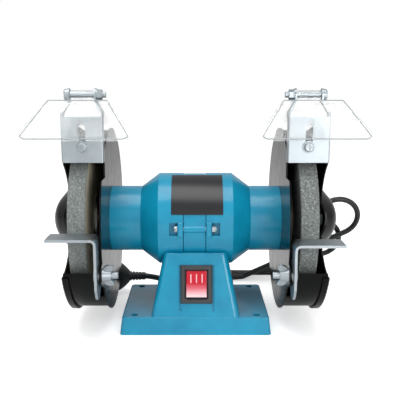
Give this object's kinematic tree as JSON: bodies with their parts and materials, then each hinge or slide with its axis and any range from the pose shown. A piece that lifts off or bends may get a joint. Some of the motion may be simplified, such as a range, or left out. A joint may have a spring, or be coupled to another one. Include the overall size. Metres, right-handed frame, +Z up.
{
  "type": "bench grinder",
  "caption": "Bench grinder with two guarded abrasive wheels on one motor spindle, flip-up eye shields, adjustable tool rests and a rocker switch on a bolt-down base.",
  "frame": {"origin": "on the bench under the middle of the spindle, at the centre of the four bench bolts", "axes": "+X along the spindle to the right, +Y to the back, +Z up"},
  "size_m": [0.3295, 0.247, 0.2245],
  "materials": {
    "enamel": "semi-gloss turquoise enamel",
    "guard_black": "gloss black enamel",
    "zinc": "bright zinc plate",
    "steel": "machined steel",
    "clear_plastic": "clear plastic sheet",
    "grey_abrasive": "coarse grey abrasive",
    "fine_abrasive": "fine grey abrasive",
    "blotter_paper": "thick paper",
    "black_label": "black satin film",
    "black_plastic": "black moulded plastic",
    "red_plastic": "translucent red plastic",
    "cord_black": "black cord jacket",
    "brass_pins": "bright brass",
    "core_steel": "stacked sheet steel",
    "copper": "enamelled copper wire",
    "cream_plastic": "cream plastic"
  },
  "bodies": {
    "stand": {"base": "enamel", "bottom_plate": "zinc", "bottom_plate_screws": "zinc", "saddle_screws": "zinc", "capacitor": "cream_plastic", "terminal_block": "cream_plastic", "left_end_bell": "enamel", "right_end_bell": "enamel", "centre_band": "enamel", "tie_bolts": "zinc", "rating_label": "black_label", "stator_core": "core_steel", "stator_windings": "copper", "switch_body": "black_plastic", "cord_gland": "cord_black", "cord": "cord_black", "cord_lead": "cord_black", "cord_coil": "cord_black", "plug_body": "cord_black", "plug_pins": "brass_pins", "plug_sleeve": "cord_black", "left_bearing": "steel", "left_guard": "guard_black", "left_guard_cover": "guard_black", "left_guard_screws": "zinc", "left_cover_screws": "zinc", "left_slot_screw": "zinc", "right_bearing": "steel", "right_guard": "guard_black", "right_guard_cover": "guard_black", "right_guard_screws": "zinc", "right_cover_screws": "zinc", "right_slot_screw": "zinc"},
    "spindle": {"spindle": "steel", "rotor_core": "core_steel", "left_wheel": "fine_abrasive", "left_inner_flange": "steel", "left_outer_flange": "steel", "left_blotters": "blotter_paper", "left_spindle_nut": "zinc", "right_wheel": "grey_abrasive", "right_inner_flange": "steel", "right_outer_flange": "steel", "right_blotters": "blotter_paper", "right_spindle_nut": "zinc"},
    "rocker": {"rocker": "red_plastic"},
    "left_spark_bracket": {"left_spark_bracket": "zinc", "left_hinge_screw": "zinc", "left_hinge_nut": "zinc"},
    "left_eye_shield": {"left_eye_shield": "clear_plastic"},
    "left_rest_bolt": {"left_rest_bolt": "zinc"},
    "left_tool_rest": {"left_tool_rest": "zinc"},
    "left_wing_nut": {"left_wing_nut": "zinc"},
    "right_spark_bracket": {"right_spark_bracket": "zinc", "right_hinge_screw": "zinc", "right_hinge_nut": "zinc"},
    "right_eye_shield": {"right_eye_shield": "clear_plastic"},
    "right_rest_bolt": {"right_rest_bolt": "zinc"},
    "right_tool_rest": {"right_tool_rest": "zinc"},
    "right_wing_nut": {"right_wing_nut": "zinc"}
  },
  "joints": [
    {"name": "spindle_spin", "type": "hinge", "parent": "stand", "child": "spindle", "pos_m": [0, 0, 0.1], "axis": [1, 0, 0], "continuous": true},
    {"name": "rocker_tip", "type": "hinge", "parent": "stand", "child": "rocker", "pos_m": [0.0009, -0.04428, 0.04632], "axis": [1, 0, 0], "range_deg": [0, 18]},
    {"name": "left_bracket_slide", "type": "slide", "parent": "stand", "child": "left_spark_bracket", "axis": [0, 0, 1], "range_m": [-0.011, 0.001]},
    {"name": "left_shield_tilt", "type": "hinge", "parent": "left_spark_bracket", "child": "left_eye_shield", "pos_m": [-0.098, -0.05, 0.219], "axis": [-1, 0, 0], "range_deg": [-12, 75]},
    {"name": "left_rest_tilt", "type": "hinge", "parent": "stand", "child": "left_rest_bolt", "pos_m": [-0.0755, -0.085, 0.067], "axis": [1, 0, 0], "range_deg": [-2, 12]},
    {"name": "left_rest_slide", "type": "slide", "parent": "left_rest_bolt", "child": "left_tool_rest", "axis": [0, 1, 0], "range_m": [-0.008, 0.001]},
    {"name": "left_wing_nut_turn", "type": "hinge", "parent": "left_rest_bolt", "child": "left_wing_nut", "pos_m": [-0.0755, -0.085, 0.067], "axis": [1, 0, 0], "continuous": true},
    {"name": "right_bracket_slide", "type": "slide", "parent": "stand", "child": "right_spark_bracket", "axis": [0, 0, 1], "range_m": [-0.011, 0.001]},
    {"name": "right_shield_tilt", "type": "hinge", "parent": "right_spark_bracket", "child": "right_eye_shield", "pos_m": [0.098, -0.05, 0.219], "axis": [-1, 0, 0], "range_deg": [-12, 75]},
    {"name": "right_rest_tilt", "type": "hinge", "parent": "stand", "child": "right_rest_bolt", "pos_m": [0.0755, -0.085, 0.067], "axis": [1, 0, 0], "range_deg": [-2, 12]},
    {"name": "right_rest_slide", "type": "slide", "parent": "right_rest_bolt", "child": "right_tool_rest", "axis": [0, 1, 0], "range_m": [-0.008, 0.001]},
    {"name": "right_wing_nut_turn", "type": "hinge", "parent": "right_rest_bolt", "child": "right_wing_nut", "pos_m": [0.0755, -0.085, 0.067], "axis": [1, 0, 0], "continuous": true}
  ]
}
